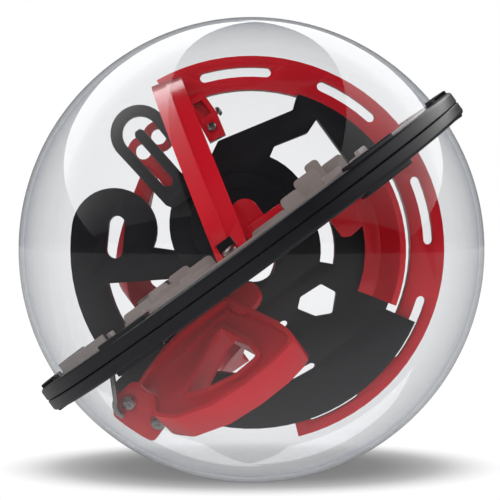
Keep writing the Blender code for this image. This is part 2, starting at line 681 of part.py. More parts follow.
# Small red pieces on the disc: a hood over the marble's way, and a low rail.
HOOD = (6.2 * MM, -30 * MM)
HOOD_R = 5.0 * MM
hood_top = SEAT + 17 * MM - HOOD_R
hood_wall = 1.4 * MM


def hood_outline(radius):
    return ([(HOOD[0] + radius, SEAT)] + arc(radius, 0, math.pi, (HOOD[0], hood_top))
            + [(HOOD[0] - radius, SEAT)])


hood = upright("tunnel_hood", [hood_outline(HOOD_R)], HOOD[1] - 4 * MM, HOOD[1] + 5 * MM, RED)
hollow = [(x, z - MM if z == SEAT else z) for x, z in hood_outline(HOOD_R - hood_wall)]
cut(hood, upright("hood_hollow", [hollow], HOOD[1] - 4 * MM + hood_wall, HOOD[1] + 6 * MM))
slab("floor_rail", [band(50 * MM, 51.4 * MM, math.radians(-86), math.radians(-70))], SEAT,
     SEAT + 7.4 * MM, RED)


# Below the disc -------------------------------------------------------------------------------
LOWER_FRONT = -3.2 * MM
LOWER_BACK = 3.2 * MM
SPLIT = math.radians(-60)
RIGHT_R = LOWER_R - 12.5 * MM
LUG_R = PLATE_R + 6.2 * MM
top_line = -math.asin(SEAT / RIGHT_R)
outline = (arc(PLATE_R, math.pi + math.asin(SEAT / PLATE_R), math.radians(188))
           + arc(LUG_R, math.radians(188), math.radians(209))
           + arc(LOWER_R, math.radians(209), 2 * math.pi + SPLIT)
           + arc(RIGHT_R, 2 * math.pi + SPLIT, 2 * math.pi + top_line))
moon = arc(8.4 * MM, math.pi, 2 * math.pi, (-1.6 * MM, -4 * MM))
slot = band(27.0 * MM, 32.6 * MM, math.radians(-46), math.radians(-9))
delta = rounded([(x * MM, z * MM) for x, z in ((0.8, -29.2), (4.5, -26), (14, -26.6), (17, -33),
                                               (11, -39), (5, -36))], 1.2 * MM)
nick = capsule((-11.5 * MM, -30.2 * MM), (-6.8 * MM, -30.8 * MM), 1.4 * MM)
low_slot = capsule((-16 * MM, -49.6 * MM), (-8 * MM, -50.6 * MM), 1.5 * MM)
behind_tray = rounded([(x * MM, z * MM) for x, z in ((-47, -23), (-22, -19.5), (-17, -33), (-30, -39))],
                      2 * MM)
lower = upright("lower_plate", [outline, moon, slot, delta, nick, low_slot, behind_tray],
                LOWER_FRONT, LOWER_BACK, BLACK)
# Red hook track: a face with an inward lobe, and a banked outer wall that leans to the front.
HOOK_OUT = RIGHT_R - 0.4 * MM
HOOK_IN = HOOK_OUT - 13.5 * MM
HOOK_FACE = -11 * MM
HOOK_T = 2.4 * MM
HOOK_START = math.radians(-57)
HOOK_END = math.radians(-8)
BANK = 15 * MM
hook_section = [(HOOK_IN, HOOK_FACE), (HOOK_IN + 6 * MM, HOOK_FACE),
                (HOOK_OUT - 2.2 * MM, HOOK_FACE - BANK), (HOOK_OUT, HOOK_FACE - BANK),
                (HOOK_IN + 8.4 * MM, HOOK_FACE + HOOK_T), (HOOK_IN, HOOK_FACE + HOOK_T)]
hook = swept("hook_track", hook_section, RED, (0, 0, 0),
             (math.cos(HOOK_END), 0, math.sin(HOOK_END)), (0, 1, 0), HOOK_END - HOOK_START)
lobe_in = HOOK_IN - 12.5 * MM
lobe = rounded([(lobe_in, -7 * MM), (lobe_in, -16.4 * MM), (lobe_in + 3 * MM, -18 * MM),
                (HOOK_IN + 0.5 * MM, -17 * MM), (HOOK_IN + 1.2 * MM, -7.6 * MM)], 1.5 * MM)
join(hook, upright("hook_lobe", [lobe], HOOK_FACE + 0.2 * MM, HOOK_FACE + HOOK_T - 0.2 * MM))
for number, (r, a) in enumerate([(HOOK_IN + 3 * MM, -16), (HOOK_IN + 3 * MM, -50)], 1):
    peg = circle(2.4 * MM, polar(r, math.radians(a)))
    join(hook, upright(f"hook_peg_{number}", [peg], HOOK_FACE + MM, LOWER_FRONT - FIT))

# Boat-shaped tray, its deck leaning back so that it looks up at the front.
tray_n = Vector((0, -math.cos(TRAY_TILT), math.sin(TRAY_TILT)))
tray_t = Vector((0, math.sin(TRAY_TILT), math.cos(TRAY_TILT)))
tray_o = Vector((0, -55 * MM, -34.8 * MM))
tray_turn = Matrix.Translation(tray_o) @ Matrix((
    (1, tray_t.x, tray_n.x, 0), (0, tray_t.y, tray_n.y, 0), (0, tray_t.z, tray_n.z, 0),
    (0, 0, 0, 1)))
hull = rounded([(x * MM, y * MM) for x, y in (
    (-29, 0), (-17, 0.6), (-4.6, 3.4), (-7.5, 15), (-12.5, 27), (-16, 38.5), (-36, 39), (-46, 37),
    (-57, 32.5), (-63.5, 29), (-60.0, 20.5), (-63.5, 14.0), (-56, 6.0), (-42.5, 1.2))], 5 * MM)
isle = rounded([(x * MM, y * MM) for x, y in (
    (-52, 13.0), (-42, 8.0), (-30, 5.4), (-18.4, 6.4), (-19.4, 17), (-24.5, 30), (-29.5, 28.5))],
    3.5 * MM)
tray = slab("boat_tray", [hull, inset(hull, TRAY_WALL)], -TRAY_DEPTH, 0, RED, tray_turn)
deck_low = -TRAY_POCKET - 1.8 * MM
join(tray, slab("tray_deck", [inset(hull, TRAY_WALL / 2), inset(isle, TRAY_WALL / 2)], deck_low,
                -TRAY_POCKET, None, tray_turn))
join(tray, slab("tray_isle", [isle, inset(isle, TRAY_WALL)], -TRAY_DEPTH + 3 * MM, -0.6 * MM, None,
                tray_turn))
join(tray, slab("tray_rail", [capsule((-40 * MM, 31.5 * MM), (-20 * MM, 34.5 * MM), 1.0 * MM)],
                deck_low + 0.4 * MM, -2 * MM, None, tray_turn))
tray_lobe = circle(6.4 * MM, (-12.4 * MM, 33.5 * MM))
join(tray, slab("tray_tab", [tray_lobe], -2.6 * MM, -0.3 * MM, None, tray_turn))
PEG_LONG = LOWER_FRONT - FIT + 26.6 * MM      # from the plate to inside the tray's wall
for number, spot in enumerate([(-26 * MM, -16.2 * MM), (-44 * MM, -16.2 * MM)], 1):
    join(tray, upright(f"tray_peg_{number}", [circle(2.0 * MM, spot)],
                       LOWER_FRONT - FIT - PEG_LONG, LOWER_FRONT - FIT))

# Corner plate on two spacers, with its screws.
CORNER_FRONT = -21.5 * MM
CORNER_T = 2.4 * MM
corner_in = LUG_R - 11 * MM
corner = upright("corner_plate", [rounded(
    arc(LUG_R + 4 * MM, math.radians(193.5), math.radians(206.5))
    + [polar(corner_in + 3 * MM, math.radians(208)), polar(corner_in, math.radians(203)),
       polar(corner_in - 3.5 * MM, math.radians(196)), polar(corner_in + MM, math.radians(191)),
       polar(LUG_R - 2 * MM, math.radians(190.5))], 2.5 * MM)],
    CORNER_FRONT, CORNER_FRONT + CORNER_T, RED)
CORNER_SCREW_ANGLES = (194.6, 205.0)
for number, angle in enumerate(CORNER_SCREW_ANGLES, 1):
    spot = polar(LUG_R - 3.6 * MM, math.radians(angle))
    point = (spot[0], CORNER_FRONT, spot[1])
    cut(corner, bore(f"corner_hole_{number}", point, (0, 1, 0), SCREW_R + FIT, -MM,
                     CORNER_T + MM))
    length = LOWER_FRONT - FIT - (CORNER_FRONT + CORNER_T + FIT)
    post = upright(f"corner_post_{number}", [circle(3.0 * MM, spot), circle(SCREW_R + FIT, spot)],
                   CORNER_FRONT + CORNER_T + FIT, LOWER_FRONT - FIT, BLACK)
    screw(f"corner_screw_{number}", (spot[0], CORNER_FRONT - FIT, spot[1]), (0, 1, 0),
          CORNER_T + length - 3 * MM)

# Steel strip that hangs from the disc and hooks round the corner plate's upper screw.
STRIP_T = 1.8 * MM
STRIP_DEEP = 4.6 * MM
strip_back = CORNER_FRONT - FIT
hook_head = polar(LUG_R - 3.6 * MM, math.radians(CORNER_SCREW_ANGLES[0]))
hook_r = PAN_HEAD_R + FIT + 0.8 * MM
strip_top = (hook_head[0] + 3.4 * MM, -SEAT)
bend = arc(hook_r + STRIP_T, math.radians(125), math.radians(215), hook_head)
bend_in = arc(hook_r, math.radians(215), math.radians(125), hook_head)
upright("corner_strip", [[strip_top] + bend + bend_in + [(strip_top[0] + STRIP_T, strip_top[1])]],
        strip_back - STRIP_DEEP, strip_back, STEEL)

# Ramp behind the lower plate.
RAMP_R = 24 * MM
RAMP_HUB = Vector((-12 * MM, TRACK_BACK + 5 * MM + CHANNEL_W / 2 + RAMP_R, 0))
swept("rear_ramp", level_channel(RAMP_R, -CHANNEL_H - 9 * MM), RED, RAMP_HUB, (1, 0, 0),
      (0, 0, 1), math.radians(-200), (0, 0, -24 * MM))

# Marble, on its own pivot at the middle of the globe ------------------------------------------
pivot = bpy.data.objects.new("marble_pivot", None)
pivot.parent = puzzle
parts.objects.link(pivot)
ball = bmesh.new()
bmesh.ops.create_uvsphere(ball, u_segments=20, v_segments=10, radius=MARBLE_R)
bmesh.ops.translate(ball, verts=ball.verts, vec=(-LANE_R, 0, SEAT + MARBLE_R))
place("marble", tidy(ball, "marble"), STEEL, pivot)
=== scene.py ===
import json
import math

import bmesh
import bpy
import numpy as np
from mathutils import Matrix, Vector

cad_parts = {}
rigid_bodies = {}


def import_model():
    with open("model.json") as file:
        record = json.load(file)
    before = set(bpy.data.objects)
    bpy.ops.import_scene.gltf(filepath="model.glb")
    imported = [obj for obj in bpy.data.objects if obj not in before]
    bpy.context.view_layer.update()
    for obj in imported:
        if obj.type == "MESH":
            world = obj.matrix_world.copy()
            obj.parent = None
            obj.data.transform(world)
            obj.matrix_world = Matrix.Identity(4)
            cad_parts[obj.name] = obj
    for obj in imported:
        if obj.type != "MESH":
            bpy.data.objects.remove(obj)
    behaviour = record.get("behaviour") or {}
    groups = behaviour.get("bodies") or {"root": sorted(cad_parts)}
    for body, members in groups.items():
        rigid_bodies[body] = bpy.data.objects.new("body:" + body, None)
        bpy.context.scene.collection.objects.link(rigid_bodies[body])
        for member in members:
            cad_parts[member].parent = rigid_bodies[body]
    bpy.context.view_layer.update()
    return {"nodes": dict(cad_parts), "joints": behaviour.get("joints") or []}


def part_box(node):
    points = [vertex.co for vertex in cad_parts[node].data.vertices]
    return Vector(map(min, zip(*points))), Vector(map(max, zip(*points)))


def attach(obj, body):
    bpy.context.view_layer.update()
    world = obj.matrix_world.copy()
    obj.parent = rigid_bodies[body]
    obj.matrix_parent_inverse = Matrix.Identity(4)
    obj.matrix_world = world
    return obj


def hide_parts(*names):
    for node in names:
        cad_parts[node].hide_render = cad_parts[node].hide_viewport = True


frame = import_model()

# Lay of the maze --------------------------------------------------------------------------------
# The maze is drawn level in its own frame, disc in XY and ring axis up, round the globe's centre.
# The marble's lane turns about the ring's axis, so its joint says where that frame lies.
lane = frame["joints"][0]
GLOBE = lane["parent"]
CENTRE = Vector(lane["pos_m"])
ring_axis = Vector(lane["axis"]).normalized()
depth_axis = Vector((0, 1, 0))
TILT = Matrix((depth_axis.cross(ring_axis), depth_axis, ring_axis)).transposed()
MAZE = Matrix.Translation(CENTRE) @ TILT.to_4x4()


def solid_points(node):
    """Corners of a CAD solid in the maze's frame."""
    back = MAZE.inverted()
    return np.array([back @ v.co for v in frame["nodes"][node].data.vertices])


# Maze disc --------------------------------------------------------------------------------------
# The floor of the maze, one moulding in warm grey ABS with its lane fences and baffles on it.
# Its moulded edges are softly rounded, and it is clamped by its rim between the two domes.
def plastic(name, colour, roughness, grain=0.06, coat=0.0, glow=0.0, mottle=0.08):
    """Moulded plastic: a fine grain, faint flow marks in its colour and a smeared gloss."""
    finish = bpy.data.materials.new(name)
    finish.use_nodes = True
    nodes, links = finish.node_tree.nodes, finish.node_tree.links
    shader = nodes["Principled BSDF"]
    shader.inputs["Coat Weight"].default_value = coat
    shader.inputs["Coat Roughness"].default_value = 0.08
    shader.inputs["Subsurface Weight"].default_value = glow
    shader.inputs["Subsurface Scale"].default_value = 0.002
    place = nodes.new("ShaderNodeTexCoord")
    flow = nodes.new("ShaderNodeTexNoise")
    flow.inputs["Scale"].default_value = 38
    flow.inputs["Detail"].default_value = 4
    flow.inputs["Distortion"].default_value = 0.6
    links.new(place.outputs["Object"], flow.inputs["Vector"])
    tint = nodes.new("ShaderNodeValToRGB")
    tint.color_ramp.elements[0].position = 0.3
    tint.color_ramp.elements[1].position = 0.7
    tint.color_ramp.elements[0].color = (*(c * (1 - mottle) for c in colour), 1)
    tint.color_ramp.elements[1].color = (*(c * (1 + mottle) for c in colour), 1)
    links.new(flow.outputs["Fac"], tint.inputs["Fac"])
    links.new(tint.outputs["Color"], shader.inputs["Base Color"])
    smear = nodes.new("ShaderNodeMapRange")
    smear.inputs["To Min"].default_value = roughness * 0.85
    smear.inputs["To Max"].default_value = roughness * 1.25
    links.new(flow.outputs["Fac"], smear.inputs["Value"])
    links.new(smear.outputs["Result"], shader.inputs["Roughness"])
    pores = nodes.new("ShaderNodeTexNoise")
    pores.inputs["Scale"].default_value = 2600
    pores.inputs["Detail"].default_value = 2
    links.new(place.outputs["Object"], pores.inputs["Vector"])
    bump = nodes.new("ShaderNodeBump")
    bump.inputs["Strength"].default_value = grain
    bump.inputs["Distance"].default_value = 0.0002
    links.new(pores.outputs["Fac"], bump.inputs["Height"])
    links.new(bump.outputs["Normal"], shader.inputs["Normal"])
    return finish


def settle(name, mesh, finish, replaced, body=GLOBE, crease=30):
    """Put a finished mesh in the scene as the piece that stands for some CAD solids.
    Without a finish the mesh keeps the materials it has."""
    piece = bpy.data.objects.new(name, mesh)
    bpy.context.scene.collection.objects.link(piece)
    if finish is not None:
        mesh.materials.clear()
        mesh.materials.append(finish)
    mesh.shade_smooth()
    mesh.set_sharp_from_angle(angle=math.radians(crease))
    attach(piece, body)
    if replaced:
        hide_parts(*replaced)
    return piece


def applied(piece):
    """The piece's mesh with its modifiers applied; the working object goes."""
    bpy.context.view_layer.update()
    ready = piece.evaluated_get(bpy.context.evaluated_depsgraph_get())
    mesh = bpy.data.meshes.new_from_object(ready)
    bpy.data.objects.remove(piece, do_unlink=True)
    return mesh


def worked(name, mesh):
    """A working object to hang modifiers on."""
    piece = bpy.data.objects.new(name, mesh)
    bpy.context.scene.collection.objects.link(piece)
    return piece


def eased(piece, width, steps=2):
    """Round the piece's edges."""
    edge = piece.modifiers.new("edge", "BEVEL")
    edge.width = width
    edge.segments = steps
    edge.limit_method = "ANGLE"
    edge.angle_limit = math.radians(38)
    edge.miter_outer = "MITER_ARC"
    return piece


def moulded(node, finish, edge):
    """A CAD solid with its triangles joined into flats and its edges eased."""
    bm = bmesh.new()
    bm.from_mesh(frame["nodes"][node].data)
    bmesh.ops.remove_doubles(bm, verts=bm.verts, dist=2e-6)
    bmesh.ops.dissolve_limit(bm, angle_limit=math.radians(1), verts=bm.verts, edges=bm.edges)
    mesh = bpy.data.meshes.new(node + "_moulding")
    bm.to_mesh(mesh)
    bm.free()
    piece = eased(worked(node + "_work", mesh), edge)
    return settle(node + "_moulding", applied(piece), finish, [node])


TAUPE = plastic("taupe_abs", (0.30, 0.255, 0.24), 0.42, grain=0.1)
moulded("maze_disc", TAUPE, 0.00035)

# Upright plates and gates -----------------------------------------------------------------------
# Black satin ABS plates stand on and under the disc; the hub boss and the fork gate are screwed
# to the upper plate's face.
BLACK = plastic("black_abs", (0.009, 0.009, 0.012), 0.3, grain=0.08, mottle=0.15)
for node in ("upper_plate", "hub_boss", "fork_gate", "lower_plate", "corner_post_1",
             "corner_post_2"):
    moulded(node, BLACK, 0.0004)

# Red tracks -------------------------------------------------------------------------------------
# Glossy red ABS: the near arch and its bracket, the slotted track ring behind the plates, the
# chutes and ramp, the hook track and the boat-shaped tray.  They let a little light through.
RED = plastic("red_abs", (0.60, 0.005, 0.016), 0.18, grain=0.03, coat=0.3, glow=0.05)
for node in ("front_arch", "arch_bracket", "track_ring_upper", "track_ring_lower", "loop_gate",
             "rear_chute", "rear_ramp", "tunnel_hood", "floor_rail", "hook_track", "boat_tray",
             "corner_plate"):
    moulded(node, RED, 0.0003)


# Clear domes ------------------------------------------------------------------------------------
# Two clear polystyrene half globes, 2 mm thick, each with a narrow foot that the ring clamps.
# Both are turned shapes: a profile carried round the ring's axis.  The outer skin is drawn
# with a mirror gloss and the inner one with hardly any.
def turned_tree():
    """Geometry Nodes: a profile, drawn as (radius - 1, -height), carried round a unit circle."""
    tree = bpy.data.node_groups.new("turned_shape", "GeometryNodeTree")
    tree.interface.new_socket("Profile", in_out="INPUT", socket_type="NodeSocketGeometry")
    tree.interface.new_socket("Steps", in_out="INPUT", socket_type="NodeSocketInt")
    tree.interface.new_socket("Finish", in_out="INPUT", socket_type="NodeSocketMaterial")
    tree.interface.new_socket("Shape", in_out="OUTPUT", socket_type="NodeSocketGeometry")
    nodes, links = tree.nodes, tree.links
    given = nodes.new("NodeGroupInput")
    result = nodes.new("NodeGroupOutput")
    profile = nodes.new("GeometryNodeMeshToCurve")
    path = nodes.new("GeometryNodeCurvePrimitiveCircle")
    path.inputs["Radius"].default_value = 1.0
    sweep = nodes.new("GeometryNodeCurveToMesh")
    weld = nodes.new("GeometryNodeMergeByDistance")
    weld.inputs["Distance"].default_value = 0.000005
    realize = nodes.new("GeometryNodeRealizeInstances")
    paint = nodes.new("GeometryNodeSetMaterial")
    links.new(given.outputs["Profile"], profile.inputs["Mesh"])
    links.new(given.outputs["Steps"], path.inputs["Resolution"])
    links.new(path.outputs["Curve"], sweep.inputs["Curve"])
    links.new(profile.outputs["Curve"], sweep.inputs["Profile Curve"])
    links.new(sweep.outputs["Mesh"], weld.inputs["Geometry"])
    links.new(weld.outputs["Geometry"], realize.inputs["Geometry"])
    links.new(realize.outputs["Geometry"], paint.inputs["Geometry"])
    links.new(given.outputs["Finish"], paint.inputs["Material"])
    links.new(paint.outputs["Geometry"], result.inputs["Shape"])
    return tree


def set_inputs(modifier, **values):
    """Give a tree's named inputs their values, by identifier."""
    sockets = {s.name: s.identifier for s in modifier.node_group.interface.items_tree
               if s.in_out == "INPUT"}
    for name, value in values.items():
        modifier[sockets[name]] = value


TURNED = turned_tree()


def turned(name, profile, steps, finish, closed):
    """A mesh turned from (radius, height) points, in the maze's frame."""
    count = len(profile)
    edges = [(i, i + 1) for i in range(count - 1)] + ([(count - 1, 0)] if closed else [])
    mesh = bpy.data.meshes.new(name)
    mesh.from_pydata([(r - 1, -z, 0) for r, z in profile], edges, [])
    piece = worked(name, mesh)
    turning = piece.modifiers.new("turned", "NODES")
    turning.node_group = TURNED
    set_inputs(turning, Steps=steps, Finish=finish)
    mesh = applied(piece)
    bm = bmesh.new()
    bm.from_mesh(mesh)
    bmesh.ops.recalc_face_normals(bm, faces=bm.faces)
    bm.to_mesh(mesh)
    bm.free()
    return mesh


def round_arc(radius, start, end, steps, centre=(0.0, 0.0)):
    """Points on an arc, from one angle to another."""
    turns = [start + (end - start) * i / steps for i in range(steps + 1)]
    return [(centre[0] + radius * math.cos(a), centre[1] + radius * math.sin(a)) for a in turns]


def clear_plastic(name, mirror_low, mirror_high, rim_tint, fog):
    """Clear sheet.  mirror_low and mirror_high are the gloss seen face on and edge on, rim_tint
    is what comes through edge on, and fog is the haze on the low part of the globe."""
    finish = bpy.data.materials.new(name)
    finish.use_nodes = True
    nodes, links = finish.node_tree.nodes, finish.node_tree.links
    nodes.remove(nodes["Principled BSDF"])
    out = nodes["Material Output"]
    through = nodes.new("ShaderNodeBsdfTransparent")
    edge_on = nodes.new("ShaderNodeLayerWeight")
    edge_on.inputs["Blend"].default_value = 0.5
    shade = nodes.new("ShaderNodeValToRGB")
    ramp = shade.color_ramp
    ramp.elements[0].position = 0.0
    ramp.elements[0].color = (0.985, 0.987, 0.99, 1)
    ramp.elements[1].position = 1.0
    ramp.elements[1].color = (rim_tint, rim_tint * 1.02, rim_tint * 1.06, 1)
    middle = ramp.elements.new(0.72)
    middle.color = (0.95, 0.953, 0.96, 1)
    links.new(edge_on.outputs["Facing"], shade.inputs["Fac"])
    links.new(shade.outputs["Color"], through.inputs["Color"])
    mirror = nodes.new("ShaderNodeBsdfGlossy")
    mirror.inputs["Roughness"].default_value = 0.03
    steep = nodes.new("ShaderNodeMath")
    steep.operation = "POWER"
    steep.inputs[1].default_value = 3
    links.new(edge_on.outputs["Facing"], steep.inputs[0])
    share = nodes.new("ShaderNodeMapRange")
    share.inputs["To Min"].default_value = mirror_low
    share.inputs["To Max"].default_value = mirror_high
    links.new(steep.outputs["Value"], share.inputs["Value"])
    both = nodes.new("ShaderNodeMixShader")
    links.new(share.outputs["Result"], both.inputs["Fac"])
    links.new(through.outputs["BSDF"], both.inputs[1])
    links.new(mirror.outputs["BSDF"], both.inputs[2])
    haze = nodes.new("ShaderNodeBsdfDiffuse")
    haze.inputs["Color"].default_value = (0.86, 0.87, 0.89, 1)
    place = nodes.new("ShaderNodeTexCoord")
    height = nodes.new("ShaderNodeSeparateXYZ")
    links.new(place.outputs["Object"], height.inputs["Vector"])
    fade = nodes.new("ShaderNodeMapRange")
    fade.inputs["From Min"].default_value = 0.35 * CENTRE.z
    fade.inputs["From Max"].default_value = 1.05 * CENTRE.z
    fade.inputs["To Min"].default_value = fog
    fade.inputs["To Max"].default_value = 0.0
    links.new(height.outputs["Z"], fade.inputs["Value"])
    veil = nodes.new("ShaderNodeMixShader")
    links.new(fade.outputs["Result"], veil.inputs["Fac"])
    links.new(both.outputs["Shader"], veil.inputs[1])
    links.new(haze.outputs["BSDF"], veil.inputs[2])
    links.new(veil.outputs["Shader"], out.inputs["Surface"])
    return finish


CLEAR = clear_plastic("clear_polystyrene", 0.055, 0.62, 0.92, 0.03)
CLEAR_INSIDE = clear_plastic("clear_polystyrene_inside", 0.0, 0.02, 0.9, 0.0)
DOME_STEPS = 240
FOOT_EDGE = 0.0003               # the corners of the dome's foot are broken
for node, side in (("dome_upper", 1), ("dome_lower", -1)):
    points = solid_points(node) * (1, 1, side)
    across = np.hypot(points[:, 0], points[:, 1])
    foot = float(points[:, 2].min())
    flange = float(across.max())
    outer = float(points[:, 2].max())
    inner = float(points[across < 0.0005][:, 2].min())
    rim = float(points[across > flange - 0.0001][:, 2].max())
    rise, drop = math.asin(rim / outer), math.asin(foot / inner)
    profile = round_arc(outer, math.pi / 2, rise, 60)
    profile += [(flange - FOOT_EDGE, rim), (flange, rim - FOOT_EDGE), (flange, foot + FOOT_EDGE),
                (flange - FOOT_EDGE, foot)]
    profile += round_arc(inner, drop, math.pi / 2, 60)
    mesh = turned(node + "_shell", profile, DOME_STEPS, CLEAR, closed=False)
    mesh.materials.append(CLEAR_INSIDE)
    for face in mesh.polygons:
        face.material_index = int(face.center.length < (outer + inner) / 2)
    mesh.transform(MAZE @ Matrix.Diagonal((1, 1, side, 1)))
    if side < 0:
        mesh.flip_normals()
    settle(node + "_shell", mesh, None, [node])


# Black clamp ring -------------------------------------------------------------------------------
# Two flat half rings in black ABS that clamp the domes and the disc.  Each has six blocks
# beside the domes, and the lower ring's blocks hold the screws in round wells.
def set_out_tree():
    """Geometry Nodes: a pattern piece on every marked point, turned and sized as it says."""
    tree = bpy.data.node_groups.new("set_out", "GeometryNodeTree")
    tree.interface.new_socket("Points", in_out="INPUT", socket_type="NodeSocketGeometry")
    tree.interface.new_socket("Pattern", in_out="INPUT", socket_type="NodeSocketObject")
    tree.interface.new_socket("Finish", in_out="INPUT", socket_type="NodeSocketMaterial")
    tree.interface.new_socket("Pieces", in_out="OUTPUT", socket_type="NodeSocketGeometry")
    nodes, links = tree.nodes, tree.links
    given = nodes.new("NodeGroupInput")
    result = nodes.new("NodeGroupOutput")
    pattern = nodes.new("GeometryNodeObjectInfo")
    spots = nodes.new("GeometryNodeInstanceOnPoints")
    aim = nodes.new("GeometryNodeInputNamedAttribute")
    aim.data_type = "FLOAT_VECTOR"
    aim.inputs["Name"].default_value = "aim"
    turn = nodes.new("FunctionNodeEulerToRotation")
    size = nodes.new("GeometryNodeInputNamedAttribute")
    size.data_type = "FLOAT_VECTOR"
    size.inputs["Name"].default_value = "size"
    realize = nodes.new("GeometryNodeRealizeInstances")
    paint = nodes.new("GeometryNodeSetMaterial")
    links.new(given.outputs["Points"], spots.inputs["Points"])
    links.new(given.outputs["Pattern"], pattern.inputs["Object"])
    links.new(pattern.outputs["Geometry"], spots.inputs["Instance"])
    links.new(aim.outputs["Attribute"], turn.inputs["Euler"])
    links.new(turn.outputs["Rotation"], spots.inputs["Rotation"])
    links.new(size.outputs["Attribute"], spots.inputs["Scale"])
    links.new(spots.outputs["Instances"], realize.inputs["Geometry"])
    links.new(realize.outputs["Geometry"], paint.inputs["Geometry"])
    links.new(given.outputs["Finish"], paint.inputs["Material"])
    links.new(paint.outputs["Geometry"], result.inputs["Pieces"])
    return tree


SET_OUT = set_out_tree()


def set_out(name, pattern, spots, finish):
    """One mesh of a pattern repeated; spots are (place, Euler turn, size on each axis)."""
    mesh = bpy.data.meshes.new(name)
    mesh.from_pydata([place for place, _, _ in spots], [], [])
    for field, column in (("aim", 1), ("size", 2)):
        layer = mesh.attributes.new(field, "FLOAT_VECTOR", "POINT")
        for item, spot in zip(layer.data, spots):
            item.vector = spot[column]
    piece = worked(name, mesh)
    repeat = piece.modifiers.new("set_out", "NODES")
    repeat.node_group = SET_OUT
    set_inputs(repeat, Pattern=pattern, Finish=finish)
    return applied(piece)


def bent_block(name, inner, outer, half_turn, low, high, steps=14):
    """A block bent round the ring's axis, at angle 0."""
    bm = bmesh.new()
    layers = []
    for i in range(steps + 1):
        a = -half_turn + 2 * half_turn * i / steps
        layers.append([bm.verts.new((r * math.cos(a), r * math.sin(a), z))
                       for r, z in ((inner, low), (outer, low), (outer, high), (inner, high))])
    for one, two in zip(layers, layers[1:]):
        for k in range(4):
            bm.faces.new((one[k], one[(k + 1) % 4], two[(k + 1) % 4], two[k]))
    bm.faces.new(layers[0][::-1])
    bm.faces.new(layers[-1])
    bmesh.ops.recalc_face_normals(bm, faces=bm.faces)
    mesh = bpy.data.meshes.new(name)
    bm.to_mesh(mesh)
    bm.free()
    return worked(name, mesh)


SCREW_NODES = sorted(n for n in frame["nodes"] if n.startswith("ring_screw_"))


def ring_screw_spots():
    """Middle of each ring screw in the maze's frame."""
    for node in SCREW_NODES:
        points = solid_points(node)
        yield (points.min(0) + points.max(0)) / 2


RING_STEPS = 180
RING_EDGE = 0.0013               # rounding of the ring's outer corner
LIP_EDGE = 0.0004                # its inner corner beside the dome
SEAM_EDGE = 0.0003               # its corner at the seam between the halves
FOOT_GAP = 0.0003
FOOT_ROOF = 0.0032               # the ring's ledge over the dome's foot
BLOCK_SUNK = 0.0016              # the blocks start inside the ring
BLOCK_EDGE = 0.0005
WELL_R = 0.0021
WELL_DEEP = 0.006
HEAD_SET = 0.0019                # screw's end to the well's floor
ring_points = solid_points("ring_upper")
ring_across = np.hypot(ring_points[:, 0], ring_points[:, 1])
RING_OUT = float(ring_across.max())
RING_BORE = float(ring_across[ring_points[:, 2] > 0.003].min())
SEAM = float(ring_points[:, 2].min())
RING_TOP = float(ring_points[ring_across < RING_BORE + 0.0002][:, 2].max())
BLOCK_TOP = float(ring_points[:, 2].max())
block = ring_points[ring_points[:, 2] > BLOCK_TOP - 0.0001]
block_across = np.hypot(block[:, 0], block[:, 1])
block_in, block_out = float(block_across.min()), float(block_across.max())
near_zero = block[(block[:, 0] > 0) & (abs(block[:, 1]) < 0.03)]
block_half = float(np.arctan2(near_zero[:, 1], near_zero[:, 0]).max())


def ring_half(node, side):
    """One half of the ring with its blocks; the lower one, side -1, has the screw wells."""
    profile = [(RING_BORE, RING_TOP - LIP_EDGE), (RING_BORE + LIP_EDGE, RING_TOP)]
    profile += round_arc(RING_EDGE, math.pi / 2, 0, 6, (RING_OUT - RING_EDGE, RING_TOP - RING_EDGE))
    profile += [(RING_OUT, SEAM + SEAM_EDGE), (RING_OUT - SEAM_EDGE, SEAM),
                (flange + FOOT_GAP, SEAM), (flange + FOOT_GAP, FOOT_ROOF), (RING_BORE, FOOT_ROOF)]
    ring = worked(node + "_work", turned(node + "_body", profile, RING_STEPS, BLACK, closed=True))
    pattern = bent_block("clip_block", block_in, block_out, block_half, RING_TOP - BLOCK_SUNK,
                         BLOCK_TOP)
    eased(pattern, BLOCK_EDGE, 3)
    turns = [math.atan2(spot[1], spot[0]) for spot in ring_screw_spots()]
    blocks = worked("clip_blocks", set_out("clip_blocks", pattern,
                    [((0, 0, 0), (0, 0, a), (1, 1, 1)) for a in turns], BLACK))
    bpy.data.objects.remove(pattern, do_unlink=True)
    tools = [blocks]
    merge = ring.modifiers.new("blocks", "BOOLEAN")
    merge.operation = "UNION"
    merge.object = blocks
    if side < 0:
        floor = -float(solid_points(SCREW_NODES[0])[:, 2].min()) - HEAD_SET
        for spot in ring_screw_spots():
            bm = bmesh.new()
            bmesh.ops.create_cone(
                bm, cap_ends=True, segments=32, radius1=WELL_R, radius2=WELL_R, depth=WELL_DEEP,
                matrix=Matrix.Translation((spot[0], spot[1], floor + WELL_DEEP / 2)))
            mesh = bpy.data.meshes.new("well")
            bm.to_mesh(mesh)
            bm.free()
            well = worked("well", mesh)
            sink = ring.modifiers.new("well", "BOOLEAN")
            sink.operation = "DIFFERENCE"
            sink.object = well
            tools.append(well)
    mesh = applied(ring)
    for tool in tools:
        bpy.data.objects.remove(tool, do_unlink=True)
    mesh.transform(MAZE @ Matrix.Diagonal((1, 1, side, 1)))
    if side < 0:
        mesh.flip_normals()
    settle(node + "_moulding", mesh, BLACK, [node])


ring_half("ring_upper", 1)
ring_half("ring_lower", -1)


